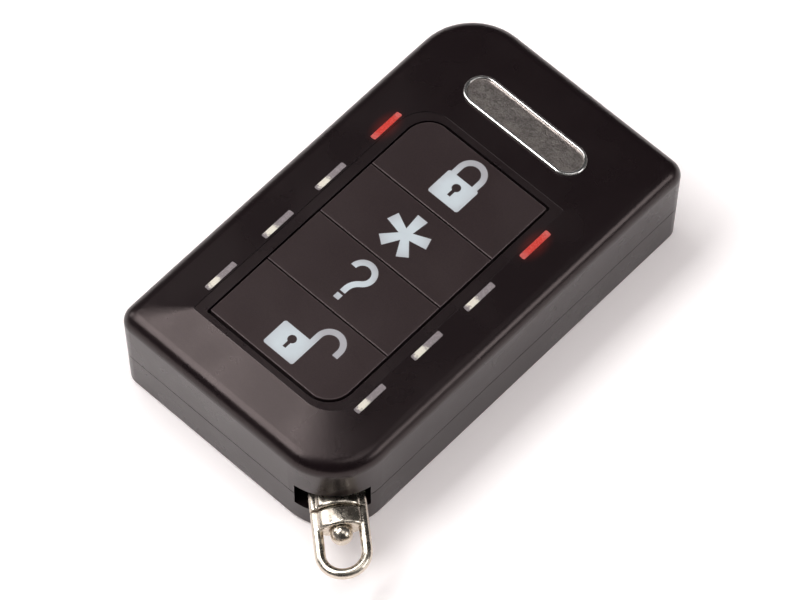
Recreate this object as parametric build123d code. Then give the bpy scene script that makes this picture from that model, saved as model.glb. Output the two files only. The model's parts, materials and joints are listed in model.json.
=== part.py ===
from build123d import *
import math
import os

# Alarm key fob lying on its back. X runs across it, Y along it towards the badge,
# Z up through the keys. The origin is the middle of the flat back face.
# All lengths are millimetres and all angles are degrees.

# Body
body_length = 65.5
body_width = 38.2
keypad_height = 16.6
crown_rise = 0.85
side_slope_run = 6.9
front_slope_run = 6.95
back_slope_run = 16.15
seam_height = 6.75
seam_gap = 0.14
wall_lean_angle = 1.7
large_corner_radius = 8.5
small_corner_radius = 2.3
least_corner_radius = 0.3
edge_round = 2.1
foot_round = 0.5
shell_wall = 1.8
floor_thickness = 1.6
lap_height = 1.2
lap_clearance = 0.08

# Keys
end_key_extra = 0.8
keypad_corner_radius = 3.5
sharp_corner_radius = 0.35
key_gap = 0.32
key_split = 0.16
key_travel = 0.5
key_edge_round = 0.12
cap_thickness = 2.4
cap_to_guide_spare = 0.5
flange_thickness = 0.8
flange_reach = 0.9
flange_clearance = 0.15
stop_clearance = 0.04
stem_radius = 1.5
pin_radius = 0.8
pin_inset = 3.6
pin_overhang = 0.6
slide_clearance = 0.05
border_recess = 0.16
border_side = 1.8
border_end = 1.2

# Key guide
guide_thickness = 1.0
guide_side_margin = 0.6
guide_end_margin = 1.6
guide_to_board = 2.4
stake_radius = 0.6
stake_head_radius = 0.95
stake_head_thickness = 0.4
stake_spacing = 9.0

# Indicator windows and their lamps
window_inset = 0.7
window_length = 5.1
window_width = 0.85
window_corner_radius = 0.18
window_clearance = 0.04
window_shift_y = -0.2
window_reach_shares = (0.38, 0.121, -0.121, -0.38)
window_foot_margin = 0.35
window_foot_thickness = 0.8
lamp_length = 1.6
lamp_width = 0.8
lamp_height = 0.8
lamp_shift_y = -1.2
lamp_gap = 0.25

# Badge
badge_length = 19.8
badge_width = 5.0
badge_place_share = 0.372
badge_thickness = 1.0
badge_stand = 0.35
badge_rim_width = 0.45
badge_field_depth = 0.3
badge_clearance = 0.03

# Circuit board and what it carries
board_thickness = 1.0
board_clearance = 0.35
switch_side = 4.5
switch_height = 1.4
switch_floor = 0.3
switch_corner_radius = 0.4
plunger_radius = 1.2
plunger_spare = 0.1
plunger_clearance = 0.05
controller_side = 7.0
controller_height = 1.2
controller_place_shares = (-0.159, -0.208)
radio_side = 5.0
radio_height = 0.9
radio_place_shares = (0.093, -0.208)
crystal_length = 3.2
crystal_width = 2.5
crystal_height = 0.8
crystal_place_shares = (0.093, -0.3)
antenna_length = 9.0
antenna_width = 2.0
antenna_height = 1.2
antenna_place_shares = (-0.079, -0.423)
capacitor_length = 1.6
capacitor_width = 0.8
capacitor_height = 0.8
capacitor_place_shares = (-0.278, -0.315)
capacitor_pitch = 2.2
capacitor_count = 5

# Coin cell and its contacts
cell_side_room = 5.05
cell_cap_inset = 1.35
cell_cap_height = 0.4
cell_place_share = 0.123
contact_thickness = 0.4
contact_radius = 4.0
clip_thickness = 0.3
clip_width = 8.0
clip_clearance = 0.1
clip_foot_length = 1.4
cell_rib_height = 1.5
cell_rib_thickness = 1.2
cell_rib_spacing = 5.0

# Screws and their bosses
screw_radius = 1.0
screw_tip_margin = 1.2
screw_head_radius = 1.8
screw_head_thickness = 1.2
screw_hole_clearance = 0.2
pilot_clearance = 0.02
pilot_spare_depth = 0.4
screw_seat_height = 2.0
counterbore_clearance = 0.2
driver_slot_length = 2.2
driver_slot_width = 0.55
driver_slot_depth = 0.6
boss_wall = 0.9
boss_base_wall = 1.0
boss_base_height = 1.5
corner_boss_inset = 5.15

# Key-ring link
post_to_corner = 5.75
link_rise = 1.4
link_direction = -48.0
link_swing = 7.5
link_roll = 6.0
wire_radius = 0.7
post_clearance = 0.15
link_split_gap = 0.12
saddle_length = 2.7
saddle_half_thickness = 1.8
eye_reach = 6.0
rivet_radius = 0.65
rivet_clearance = 0.05
ball_radius = 1.45
ball_stand = 0.6
rivet_head_radius = 1.2
rivet_head_thickness = 0.7
rivet_head_room = 0.69
slot_swing_room = 1.15
slot_height_room = 0.6

# Legends. Their outlines are drawn one unit high, in shares of the legend height.
legend_margin = 1.425
legend_depth = 0.4
padlock_width_share = 0.669
padlock_height_share = 0.55
padlock_corner_share = 0.046
shackle_width_share = 0.583
shackle_rise_share = 0.45
shackle_line_share = 0.1125
shackle_foot_share = 0.04
keyhole_radius_share = 0.082
keyhole_line_share = 0.066
keyhole_drop_share = 0.199
star_reach_share = 0.43
star_root_share = 0.126
star_tip_share = 0.2185
star_hub_share = 0.093
query_bow_share = 0.209
query_start_angle = 178.0
query_turn_angle = 55.0
query_turn_share = 0.291
query_line_share = 0.1125
query_stem_share = 0.073
query_gap_share = 0.053
query_rise_share = 0.238
query_shift_share = -0.013
lock_rise_share = 0.073
unlock_drop_share = -0.007

# One overrun for every cut that runs out of its piece
overrun = 1.0

# Share of a height within which an edge counts as lying at it
match_share = 0.001

# Keypad, fitted between the slopes
keypad_length = body_length - front_slope_run - back_slope_run - 2 * border_end
keypad_middle_y = (front_slope_run - back_slope_run) / 2
key_half_width = body_width / 2 - side_slope_run - border_side
middle_key_length = (keypad_length - 2 * end_key_extra) / 4
end_key_length = middle_key_length + end_key_extra
legend_height = end_key_length - 2 * legend_margin
pin_spacing = 2 * (key_half_width - pin_inset)
window_x = key_half_width + border_side + window_inset
window_middle_y = keypad_middle_y + window_shift_y
badge_y = keypad_middle_y + keypad_length / 2 + border_end + back_slope_run * badge_place_share

# Heights, from the keypad down to the floor
wall_top_height = keypad_height - crown_rise
border_height = keypad_height - border_recess
cap_bottom_height = keypad_height - cap_thickness
flange_top_height = cap_bottom_height + flange_thickness
stop_height = flange_top_height + stop_clearance
roof_underside_height = cap_bottom_height - key_travel - cap_to_guide_spare
guide_bottom_height = roof_underside_height - guide_thickness
board_top_height = guide_bottom_height - guide_to_board
board_bottom_height = board_top_height - board_thickness
switch_top_height = board_top_height + switch_height
stem_bottom_height = switch_top_height + key_travel + plunger_spare
cell_top_height = board_bottom_height - contact_thickness
clip_bottom_height = floor_thickness + cell_rib_height
cell_bottom_height = clip_bottom_height + clip_thickness
cell_radius = body_width / 2 - shell_wall - cell_side_room
cell_y = body_length * cell_place_share

# Screws, their bosses and the ring post
screw_tip_height = roof_underside_height - screw_tip_margin
counterbore_radius = screw_head_radius + counterbore_clearance
boss_radius = screw_radius + screw_hole_clearance + boss_wall
boss_base_radius = counterbore_radius + boss_base_wall
post_radius = boss_radius
post_inset = large_corner_radius - post_to_corner

# Link, from the post outwards, and the slot round it
link_height = (floor_thickness + board_bottom_height) / 2 + link_rise
wire_offset = post_radius + post_clearance + wire_radius
rivet_inner_reach = post_radius + rivet_head_room + rivet_head_thickness
link_split_reach = rivet_inner_reach + saddle_length + link_split_gap / 2
loop_end_reach = link_split_reach + eye_reach
slot_width = 2 * (wire_offset + wire_radius + slot_swing_room)
slot_bottom_height = link_height - saddle_half_thickness - slot_height_room
slot_top_height = link_height + saddle_half_thickness + slot_height_room

# Other values that follow from the sizes above
lean_slope = math.tan(math.radians(wall_lean_angle))
corner_to_edge_share = 0.92
edge_radius = min(edge_round, small_corner_radius * corner_to_edge_share)
lap_split = shell_wall / 2
key_names = ["lock", "star", "query", "unlock"]
key_lengths = [end_key_length, middle_key_length, middle_key_length, end_key_length]
side_signs = {"left": -1, "right": 1}


def corner_face(half_width, half_length, large_radius, small_radius, height, middle_y=0):
    """Flat outline with large corners at back left and front right, small ones at the other two."""
    large = max(large_radius, least_corner_radius)
    small = max(small_radius, least_corner_radius)
    corners = [(-1, 1, large), (1, 1, small), (1, -1, large), (-1, -1, small)]
    edges = []
    ends = []
    for sign_x, sign_y, radius in corners:
        corner = Vector(sign_x * half_width, middle_y + sign_y * half_length)
        centre = corner - Vector(sign_x * radius, sign_y * radius)
        along_x = centre + Vector(0, sign_y * radius)
        along_y = centre + Vector(sign_x * radius, 0)
        middle = centre + Vector(sign_x, sign_y).normalized() * radius
        first, last = (along_y, along_x) if sign_x * sign_y < 0 else (along_x, along_y)
        edges.append(ThreePointArc(first, middle, last))
        ends.append((first, last))
    for place in range(len(corners)):
        edges.append(Line(ends[place][1], ends[(place + 1) % len(corners)][0]))
    return Pos(0, 0, height) * make_face(Wire(edges))


def wall_face(height, inset=0):
    """Outline of the walls at a height, drawn in by an inset. The walls lean in towards the back."""
    total = inset + lean_slope * (wall_top_height - height)
    return corner_face(body_width / 2 - total, body_length / 2 - total,
                       large_corner_radius - total, small_corner_radius - total, height)


def keypad_face(height, side_margin, end_margin, sharp_radius):
    """Outline round all four keys, grown by a margin at the sides and at the ends."""
    return corner_face(key_half_width + side_margin, keypad_length / 2 + end_margin,
                       keypad_corner_radius + end_margin, sharp_radius, height, keypad_middle_y)


def prism(face, height):
    """Upright prism on a flat face."""
    return extrude(face, height, dir=(0, 0, 1))


def upright_cylinder(x, y, bottom, top, radius):
    return Pos(x, y, bottom) * extrude(Circle(radius), top - bottom)


def upright_box(x, y, bottom, top, size_x, size_y):
    return Pos(x, y, bottom) * extrude(Rectangle(size_x, size_y), top - bottom)


def boss_places():
    """Screw bosses: the ring post in the large front corner, its opposite, and two in the small corners."""
    turn = math.radians(link_direction)
    post_x = body_width / 2 - large_corner_radius + post_inset * math.cos(turn)
    post_y = large_corner_radius - body_length / 2 + post_inset * math.sin(turn)
    small_x = body_width / 2 - corner_boss_inset
    small_y = body_length / 2 - corner_boss_inset
    return [(post_x, post_y), (-post_x, -post_y), (small_x, small_y), (-small_x, -small_y)]


def key_spans():
    """Middle and length of each key along Y, from the badge end."""
    spans = []
    top = keypad_middle_y + keypad_length / 2
    for length in key_lengths:
        spans.append((top - length / 2, length))
        top -= length
    return spans


def window_places():
    """Name and plan position of each indicator window, two beside each key."""
    places = {}
    for number, share in enumerate(window_reach_shares, start=1):
        for side, sign in side_signs.items():
            places[f"{side}_{number}"] = (sign * window_x, window_middle_y + share * keypad_length)
    return places


def outer_form():
    """Closed outside of both shells: leaning walls, four slopes up to the keypad, rounded edges."""
    walls = loft([wall_face(0), wall_face(wall_top_height)], ruled=True)
    slopes = loft([wall_face(wall_top_height),
                   keypad_face(keypad_height, border_side, border_end, sharp_corner_radius)], ruled=True)
    form = walls + slopes
    tolerance = wall_top_height * match_share
    ring = form.edges().filter_by_position(Axis.Z, wall_top_height - tolerance, wall_top_height + tolerance)
    form = fillet(ring, edge_radius)
    foot = form.edges().filter_by_position(Axis.Z, -tolerance, tolerance)
    return fillet(foot, foot_round)


def badge_plane():
    """Plane on the long slope behind the keypad, at the middle of the badge, with its Z square to it."""
    slope_start = keypad_middle_y + keypad_length / 2 + border_end
    height = keypad_height - crown_rise * (badge_y - slope_start) / back_slope_run
    normal = Vector(0, crown_rise, back_slope_run).normalized()
    return Plane(origin=(0, badge_y, height), x_dir=(1, 0, 0), z_dir=normal)


def link_place(roll=0):
    """Place at the ring post with X along the link and Z up, turned to where the link rests."""
    post_x, post_y = boss_places()[0]
    return Pos(post_x, post_y, link_height) * Rot(0, 0, link_direction + link_swing) * Rot(roll, 0, 0)


def slot_cutter():
    """Opening through the large front corner that the key-ring link swings in."""
    post_x, post_y = boss_places()[0]
    reach = large_corner_radius - post_inset + overrun
    cutter = upright_box(reach / 2, 0, slot_bottom_height, slot_top_height, reach, slot_width)
    return Pos(post_x, post_y, 0) * Rot(0, 0, link_direction) * cutter


def top_shell(form):
    """Upper half: walls, slopes, keypad border, window slots, badge seat, bosses and stakes."""
    rise = keypad_height - seam_height
    shell = form & prism(wall_face(seam_height + seam_gap / 2, -overrun), rise + overrun)
    cavity = loft([wall_face(0, shell_wall), wall_face(roof_underside_height, shell_wall)], ruled=True)
    shell -= cavity
    shell -= prism(wall_face(seam_height, lap_split), lap_height)
    shell -= prism(keypad_face(roof_underside_height, flange_reach + flange_clearance,
                               flange_reach + flange_clearance, sharp_corner_radius),
                   stop_height - roof_underside_height)
    shell -= prism(keypad_face(stop_height, key_gap, key_gap, sharp_corner_radius), rise)
    shell -= prism(keypad_face(border_height, border_side, border_end, sharp_corner_radius), rise)
    for x, y in window_places().values():
        shell -= Pos(x, y, roof_underside_height) * extrude(window_section(window_clearance), rise)
    seat = badge_plane() * Pos(0, 0, badge_stand - badge_thickness)
    shell -= seat * extrude(badge_section(badge_clearance), badge_thickness + overrun)
    shell -= slot_cutter()
    for x, y in boss_places():
        shell += upright_cylinder(x, y, board_top_height, roof_underside_height, boss_radius)
        shell -= upright_cylinder(x, y, board_top_height, screw_tip_height + pilot_spare_depth,
                                  screw_radius + pilot_clearance)
    for x, y in stake_places():
        shell += upright_cylinder(x, y, guide_bottom_height, roof_underside_height, stake_radius)
        shell += upright_cylinder(x, y, guide_bottom_height - stake_head_thickness,
                                  guide_bottom_height, stake_head_radius)
    return shell


def bottom_shell(form):
    """Lower half: flat back, tongue into the upper half, screw bosses, ring post and cell ribs."""
    half = form & prism(wall_face(0, -overrun), seam_height - seam_gap / 2)
    tongue_inset = lap_split + lap_clearance
    tongue = prism(wall_face(seam_height - seam_gap, tongue_inset), lap_height + seam_gap)
    shell = half + tongue
    cavity = loft([wall_face(floor_thickness, shell_wall),
                   wall_face(wall_top_height, shell_wall)], ruled=True)
    shell -= cavity
    shell -= slot_cutter()
    for x, y in boss_places():
        shell += upright_cylinder(x, y, floor_thickness, board_bottom_height, boss_radius)
        shell += upright_cylinder(x, y, floor_thickness, floor_thickness + boss_base_height, boss_base_radius)
        shell -= upright_cylinder(x, y, 0, board_bottom_height, screw_radius + screw_hole_clearance)
        shell -= upright_cylinder(x, y, 0, screw_seat_height, counterbore_radius)
    for sign in side_signs.values():
        shell += upright_box(0, cell_y + sign * cell_rib_spacing / 2, floor_thickness, clip_bottom_height,
                             2 * cell_radius, cell_rib_thickness)
    return shell


def badge_section(clearance=0):
    """Long pill outline of the badge."""
    return SlotOverall(badge_length + 2 * clearance, badge_width + 2 * clearance)


def badge():
    """Bare plated pill with a raised rim round a sunken field."""
    body = extrude(badge_section(), badge_thickness)
    body = fillet(body.edges().group_by(Axis.Z)[-1], badge_rim_width / 2)
    field = badge_section(-badge_rim_width)
    body -= Pos(0, 0, badge_thickness - badge_field_depth) * extrude(field, overrun)
    return badge_plane() * Pos(0, 0, badge_stand - badge_thickness) * body


def window_section(clearance=0):
    """Outline of an indicator window."""
    return RectangleRounded(window_width + 2 * clearance, window_length + 2 * clearance,
                            window_corner_radius)


def window(form, x, y):
    """Clear light guide from just above its lamp up to the slope, with a foot under the roof."""
    bottom = board_top_height + lamp_height + lamp_gap
    guide = Pos(x, y, bottom) * extrude(window_section(), keypad_height - bottom)
    foot_bottom = roof_underside_height - window_foot_thickness
    guide += Pos(x, y, foot_bottom) * extrude(window_section(window_foot_margin), window_foot_thickness)
    return guide & form


def lamp(x, y):
    """Light-emitting diode on the board, under the near end of its window."""
    return upright_box(x, y + lamp_shift_y, board_top_height, board_top_height + lamp_height,
                       lamp_width, lamp_length)


def key_cap(name):
    """One key: plate between its neighbours, a flange under the border, stem and two guide pins."""
    place = key_names.index(name)
    middle, length = key_spans()[place]
    band_length = length - key_split
    cap = prism(keypad_face(cap_bottom_height, 0, 0, sharp_corner_radius), cap_thickness)
    band = upright_box(0, middle, cap_bottom_height, keypad_height, body_width, band_length)
    flange = prism(keypad_face(cap_bottom_height, flange_reach, flange_reach, sharp_corner_radius),
                   flange_thickness)
    end_reach = flange_reach + key_split
    reach_up = end_reach if place == 0 else 0
    reach_down = end_reach if place == len(key_names) - 1 else 0
    flange_band = upright_box(0, middle + (reach_up - reach_down) / 2, cap_bottom_height, keypad_height,
                              body_width, band_length + reach_up + reach_down)
    plate = cap & band
    plate = fillet(plate.faces().sort_by(Axis.Z)[-1].edges(), key_edge_round)
    key = plate + (flange & flange_band)
    key += upright_cylinder(0, middle, stem_bottom_height, cap_bottom_height, stem_radius)
    for x in pin_places():
        key += upright_cylinder(x, middle, guide_bottom_height - pin_overhang, cap_bottom_height, pin_radius)
    return key - legend(name, overrun)


def pin_places():
    """Guide pins of a key, left and right of its stem."""
    return [-pin_spacing / 2, pin_spacing / 2]


def padlock_body(x, y):
    """Padlock body with a keyhole, drawn about its own middle."""
    body = Pos(x, y) * RectangleRounded(padlock_width_share, padlock_height_share, padlock_corner_share)
    hole = Pos(x, y + keyhole_radius_share) * Circle(keyhole_radius_share)
    drop_y = y + keyhole_radius_share - keyhole_drop_share / 2
    drop = Pos(x, drop_y) * Rectangle(keyhole_line_share, keyhole_drop_share)
    return body - hole - drop


def shackle(x, y, open_leg):
    """Padlock shackle standing on the height y, with its far leg left open above it or closed."""
    outer = shackle_width_share / 2
    line = shackle_line_share
    top = y + shackle_rise_share - outer
    arch = Pos(x, top) * (Circle(outer) - Circle(outer - line))
    arch &= Pos(x, top + outer / 2) * Rectangle(2 * outer, outer)
    foot = y - shackle_foot_share
    near = Pos(x - outer + line / 2, (top + foot) / 2) * Rectangle(line, top - foot)
    far_foot = y + open_leg if open_leg else foot
    far = Pos(x + outer - line / 2, (top + far_foot) / 2) * Rectangle(line, top - far_foot)
    return arch + near + far


def padlock_mark(is_open):
    """Closed or open padlock about the middle of its body and shackle."""
    body_y = -shackle_rise_share / 2
    body_top = body_y + padlock_height_share / 2
    open_shift = (padlock_width_share + shackle_width_share) / 2 - shackle_line_share
    shift = open_shift if is_open else 0
    return padlock_body(0, body_y) + shackle(shift, body_top, shackle_foot_share if is_open else 0)


def star_mark():
    """Five-armed asterisk with arms that widen outwards."""
    mark = Circle(star_hub_share)
    root = star_root_share / 2
    tip = star_tip_share / 2
    reach = star_reach_share
    arm = make_face(Polyline((-root, 0), (root, 0), (tip, reach), (-tip, reach), close=True))
    arm_count = 5
    for turn in range(arm_count):
        mark += Rot(0, 0, 360 / arm_count * turn) * arm
    return mark


def query_mark():
    """Question mark: a bow that turns back into a short stem, and a square dot."""
    turn = math.radians(query_start_angle)
    start = Vector(math.cos(turn), math.sin(turn)) * query_bow_share
    heading = Vector(math.sin(turn), -math.cos(turn))
    curl = JernArc(start, heading, query_bow_share, -(query_start_angle + query_turn_angle))
    back = JernArc(curl @ 1, curl % 1, query_turn_share, query_turn_angle)
    foot = (back @ 1) - Vector(0, query_stem_share)
    mark = trace(curl + back + Line(back @ 1, foot), query_line_share)
    dot_y = foot.Y - query_gap_share - query_line_share / 2
    return mark + Pos(foot.X, dot_y) * Rectangle(query_line_share, query_line_share)


def legend_mark(name):
    """Flat outline of a key's legend about the middle of the key."""
    marks = {
        "lock": lambda: (padlock_mark(is_open=False), 0, lock_rise_share),
        "star": lambda: (star_mark(), 0, 0),
        "query": lambda: (query_mark(), query_shift_share, query_rise_share),
        "unlock": lambda: (padlock_mark(is_open=True), 0, unlock_drop_share),
    }
    mark, shift_share, rise_share = marks[name]()
    return Pos(shift_share * legend_height, rise_share * legend_height) * scale(mark, legend_height)


def legend(name, spare=0):
    """White moulded legend let into the top of its key, as a solid or as its cutter."""
    middle = key_spans()[key_names.index(name)][0]
    place = Pos(0, middle, keypad_height - legend_depth)
    return place * extrude(legend_mark(name), legend_depth + spare)


def stake_places():
    """Heat stakes that hold the key guide, two beyond each end of the keypad."""
    reach = flange_reach + flange_clearance + guide_end_margin / 2
    top = keypad_middle_y + keypad_length / 2 + reach
    bottom = keypad_middle_y - keypad_length / 2 - reach
    return [(side * stake_spacing / 2, y) for side in side_signs.values() for y in (top, bottom)]


def key_guide():
    """Plate staked under the roof, bored for the stem and pins of every key."""
    end_margin = flange_reach + flange_clearance + guide_end_margin
    plate = prism(keypad_face(guide_bottom_height, guide_side_margin, end_margin, sharp_corner_radius),
                  guide_thickness)
    for middle, length in key_spans():
        plate -= upright_cylinder(0, middle, guide_bottom_height, roof_underside_height,
                                  stem_radius + slide_clearance)
        for x in pin_places():
            plate -= upright_cylinder(x, middle, guide_bottom_height, roof_underside_height,
                                      pin_radius + slide_clearance)
    for x, y in stake_places():
        plate -= upright_cylinder(x, y, guide_bottom_height, roof_underside_height,
                                  stake_radius + slide_clearance)
    return plate


def switch_base(name):
    """Tact switch housing under a key, open at the top for its plunger."""
    middle = key_spans()[key_names.index(name)][0]
    base = Pos(0, middle, board_top_height) * extrude(
        RectangleRounded(switch_side, switch_side, switch_corner_radius), switch_height)
    return base - upright_cylinder(0, middle, board_top_height + switch_floor, switch_top_height,
                                   plunger_radius + plunger_clearance)


def plunger(name):
    """Round plunger that the key's stem presses into its switch."""
    middle = key_spans()[key_names.index(name)][0]
    bottom = board_top_height + switch_floor + key_travel + plunger_clearance
    return upright_cylinder(0, middle, bottom, stem_bottom_height, plunger_radius)


def circuit_board():
    """Board that follows the inside of the walls, clamped between the bosses of the two shells."""
    board = prism(wall_face(board_bottom_height, shell_wall + board_clearance), board_thickness)
    for x, y in boss_places():
        board -= upright_cylinder(x, y, board_bottom_height, board_top_height,
                                  screw_radius + screw_hole_clearance)
    return board


def board_block(place_shares, size_x, size_y, height, offset_x=0):
    """Block-shaped component on the underside of the board, at shares of the body's width and length."""
    x = body_width * place_shares[0] + offset_x
    y = body_length * place_shares[1]
    return upright_box(x, y, board_bottom_height - height, board_bottom_height, size_x, size_y)


def capacitors():
    """Row of small capacitors beside the controller."""
    row = []
    for number in range(capacitor_count):
        row.append(board_block(capacitor_place_shares, capacitor_width, capacitor_length,
                               capacitor_height, capacitor_pitch * number))
    return Compound(children=row)


def coin_cell():
    """Coin cell: the can, and the smaller cap that faces the board."""
    can = upright_cylinder(0, cell_y, cell_bottom_height, cell_top_height - cell_cap_height, cell_radius)
    return can + upright_cylinder(0, cell_y, cell_top_height - cell_cap_height, cell_top_height,
                                  cell_radius - cell_cap_inset)


def negative_contact():
    """Contact disc between the cell's cap and the board."""
    return upright_cylinder(0, cell_y, cell_top_height, board_bottom_height, contact_radius)


def battery_clip():
    """Strap under the cell with two legs and feet that are soldered to the board."""
    inner = cell_radius + clip_clearance
    outer = inner + clip_thickness
    clip = upright_box(0, cell_y, clip_bottom_height, cell_bottom_height, 2 * outer, clip_width)
    for sign in side_signs.values():
        leg_x = sign * (inner + outer) / 2
        foot_x = sign * (outer + clip_foot_length / 2)
        clip += upright_box(leg_x, cell_y, clip_bottom_height, board_bottom_height,
                            clip_thickness, clip_width)
        clip += upright_box(foot_x, cell_y, board_bottom_height - clip_thickness, board_bottom_height,
                            clip_foot_length, clip_width)
    return clip


def case_screws():
    """Four pan-head screws from the back, each with a cross for the driver."""
    screws = []
    head_bottom = screw_seat_height - screw_head_thickness
    for x, y in boss_places():
        screw = upright_cylinder(x, y, screw_seat_height, screw_tip_height, screw_radius)
        screw += upright_cylinder(x, y, head_bottom, screw_seat_height, screw_head_radius)
        cross_top = head_bottom + driver_slot_depth
        screw -= upright_box(x, y, head_bottom, cross_top, driver_slot_length, driver_slot_width)
        screw -= upright_box(x, y, head_bottom, cross_top, driver_slot_width, driver_slot_length)
        screws.append(screw)
    return Compound(children=screws)


def bow(start, end_centre, saddle_start, saddle_end):
    """Round-wire loop from a start to a half circle about end_centre, closed by an oval saddle."""
    wires = []
    for side in side_signs.values():
        leg_start = Plane(origin=(min(start, end_centre), side * wire_offset, 0), z_dir=(1, 0, 0))
        wires.append(extrude(leg_start * Circle(wire_radius), abs(end_centre - start)))
    turn = 180 if end_centre > start else -180
    section = Plane(origin=(end_centre, -wire_offset, 0), z_dir=(1, 0, 0)) * Circle(wire_radius)
    end = revolve(section, Axis((end_centre, 0, 0), (0, 0, 1)), turn)
    oval = Plane(origin=(saddle_start, 0, 0), x_dir=(0, 1, 0), z_dir=(1, 0, 0))
    saddle = extrude(oval * Ellipse(wire_offset, saddle_half_thickness), saddle_end - saddle_start)
    return wires[0] + wires[1] + end + saddle


def along_link(start, end, radius):
    """Round bar along the link's own axis."""
    return extrude(Plane(origin=(start, 0, 0), z_dir=(1, 0, 0)) * Circle(radius), end - start)


def inner_bow():
    """Half of the link that goes round the ring post and out through the slot."""
    face = link_split_reach - link_split_gap / 2
    half = bow(face, 0, face - saddle_length, face)
    half -= along_link(face - saddle_length, face, rivet_radius)
    return link_place() * half


def outer_bow():
    """Half of the link that takes the key ring and turns on the rivet."""
    face = link_split_reach + link_split_gap / 2
    half = bow(face, loop_end_reach, face, face + saddle_length)
    half -= along_link(face, face + saddle_length, rivet_radius + rivet_clearance)
    ball_x = face + saddle_length + ball_stand
    half -= Pos(ball_x, 0, 0) * Sphere(ball_radius + rivet_clearance)
    return link_place(link_roll) * half


def swivel_rivet():
    """Rivet through both saddles, with a ball head outside and a flat head at the post."""
    inner_end = rivet_inner_reach
    ball_x = link_split_reach + link_split_gap / 2 + saddle_length + ball_stand
    rivet = along_link(inner_end, ball_x, rivet_radius)
    rivet += along_link(inner_end - rivet_head_thickness, inner_end, rivet_head_radius)
    rivet += Pos(ball_x, 0, 0) * Sphere(ball_radius)
    return link_place() * rivet


def all_pieces():
    """Every piece by its name."""
    form = outer_form()
    pieces = {
        "top_shell": top_shell(form),
        "bottom_shell": bottom_shell(form),
        "badge": badge(),
        "key_guide": key_guide(),
        "circuit_board": circuit_board(),
        "coin_cell": coin_cell(),
        "negative_contact": negative_contact(),
        "battery_clip": battery_clip(),
        "controller_chip": board_block(controller_place_shares, controller_side, controller_side,
                                       controller_height),
        "radio_chip": board_block(radio_place_shares, radio_side, radio_side, radio_height),
        "crystal": board_block(crystal_place_shares, crystal_length, crystal_width, crystal_height),
        "chip_antenna": board_block(antenna_place_shares, antenna_length, antenna_width,
                                      antenna_height),
        "capacitors": capacitors(),
        "case_screws": case_screws(),
        "inner_bow": inner_bow(),
        "swivel_rivet": swivel_rivet(),
        "outer_bow": outer_bow(),
    }
    for name in key_names:
        pieces[f"key_{name}"] = key_cap(name)
        pieces[f"legend_{name}"] = legend(name)
        pieces[f"switch_{name}"] = switch_base(name)
        pieces[f"plunger_{name}"] = plunger(name)
    for name, (x, y) in window_places().items():
        pieces[f"window_{name}"] = window(form, x, y)
        pieces[f"lamp_{name}"] = lamp(x, y)
    return pieces


os.makedirs("parts", exist_ok=True)
for piece_name, piece in all_pieces().items():
    export_step(piece, f"parts/{piece_name}.step")
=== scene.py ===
import json
import math
from typing import NamedTuple

import bmesh
import bpy
from bpy.props import FloatProperty, FloatVectorProperty, IntProperty, PointerProperty
from mathutils import Euler, Matrix, Quaternion, Vector


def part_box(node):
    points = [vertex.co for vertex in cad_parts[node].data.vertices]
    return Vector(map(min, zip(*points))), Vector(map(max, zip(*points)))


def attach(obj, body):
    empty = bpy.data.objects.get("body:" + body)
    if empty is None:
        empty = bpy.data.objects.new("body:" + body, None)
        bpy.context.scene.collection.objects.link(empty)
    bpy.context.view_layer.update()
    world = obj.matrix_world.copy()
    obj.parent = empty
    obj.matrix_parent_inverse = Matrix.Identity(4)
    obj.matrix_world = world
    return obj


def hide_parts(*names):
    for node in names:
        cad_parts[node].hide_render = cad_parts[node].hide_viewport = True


bl_info = {
    "name": "Alarm Key Fob",
    "version": (1, 0, 0),
    "blender": (4, 5, 0),
    "location": "3D View > Sidebar > Key Fob",
    "description": "Finishes, key-ring link and studio for an alarm key fob",
    "category": "Object",
}

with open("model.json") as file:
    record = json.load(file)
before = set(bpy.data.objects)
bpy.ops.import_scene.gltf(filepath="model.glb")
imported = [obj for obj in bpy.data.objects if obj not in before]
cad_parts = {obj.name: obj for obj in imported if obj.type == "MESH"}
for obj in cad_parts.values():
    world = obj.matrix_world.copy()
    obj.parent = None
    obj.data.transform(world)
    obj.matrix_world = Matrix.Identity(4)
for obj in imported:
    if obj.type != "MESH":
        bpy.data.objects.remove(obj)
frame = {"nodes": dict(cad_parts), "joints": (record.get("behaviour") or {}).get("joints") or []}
nodes = frame["nodes"]
joints = {joint["name"]: joint for joint in frame["joints"]}

MM = 0.001
BLACK = (0.0, 0.0, 0.0, 1.0)

# Names of the CAD nodes that come in rows
KEY_NAMES = ("lock", "star", "query", "unlock")
WINDOW_NAMES = tuple(f"{side}_{number}" for side in ("left", "right") for number in (1, 2, 3, 4))
LIT_WINDOWS = ("left_1", "right_1")

# Sizes and turns that the CAD has too
EYE_ROLL = math.radians(6.0)
BACK_SLOPE_FOOT = 15.75 * MM
BACK_SLOPE_RUN = 16.15 * MM

# Facets of the primitives
WIRE_FACETS = 28
BEND_STEPS = 44
BARREL_FACETS = 72
BARREL_EDGE_STEPS = 5
BALL_SEGMENTS = 56
BALL_RINGS = 36
BACKDROP_FACETS = 96
MERGE_DISTANCE = 0.001 * MM

# Noise textures lie mostly between these values
NOISE_LOW = 0.3
NOISE_HIGH = 0.7

# Plastics
PLASTIC_TINT = (1.0, 0.82, 0.80, 1.0)
PLASTIC_SPECULAR = 0.42
PLASTIC_ROUGHNESS_SPREAD = 0.03
PLASTIC_GRAIN_SCALE = 5200.0
PLASTIC_GRAIN_HEIGHT = 0.006 * MM
GRAIN_PIT_SCALE_SHARE = 0.45
GRAIN_PIT_DEPTH_SHARE = 0.5
GLOSS_PATCH_SCALE = 85.0
# Sharp edges: a painted highlight lightens their colour by the gain and lift below, and use makes them
# glossier by the last value
EDGE_HIGHLIGHT_GAIN = 3.0
EDGE_HIGHLIGHT_LIFT = 0.03
WORN_EDGE_GLOSS = 0.12

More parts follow.
